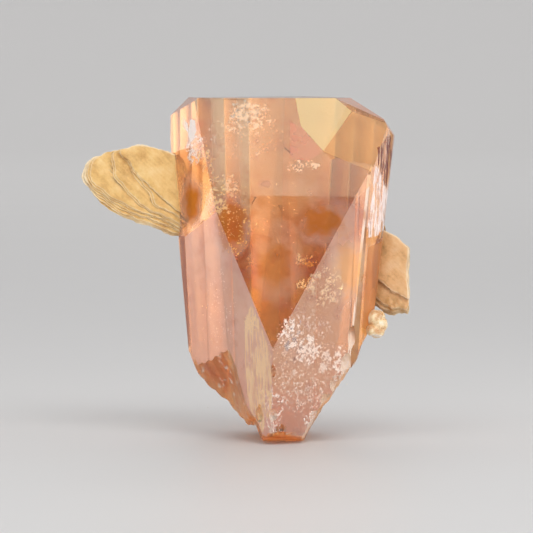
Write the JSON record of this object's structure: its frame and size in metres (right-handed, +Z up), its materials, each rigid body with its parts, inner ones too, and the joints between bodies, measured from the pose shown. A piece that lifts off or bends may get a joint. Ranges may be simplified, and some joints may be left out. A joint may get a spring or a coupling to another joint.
{
  "type": "topaz crystal",
  "caption": "Stout see-through peach topaz crystal with a broad sloping front face, flat top and broken root, standing on its cleavage foot, with mica books and an albite knob grown into its sides.",
  "frame": {"origin": "on the flat cleavage foot that the crystal stands on, straight below the middle of the crystal", "axes": "+Z up along the crystal, -Y towards the broad sloping front face, +X to the right when seen from the front"},
  "size_m": [0.0578, 0.0421, 0.0592],
  "materials": {
    "topaz": "clear peach to orange topaz, polished faces with frosted and broken places",
    "mica": "golden tan mica in thin sheets with pale edges",
    "albite": "milky white to tan albite"
  },
  "bodies": {
    "root": {"topaz_crystal": "topaz", "mica_book_left": "mica", "mica_book_right": "mica", "albite_knob": "albite"}
  },
  "joints": []
}
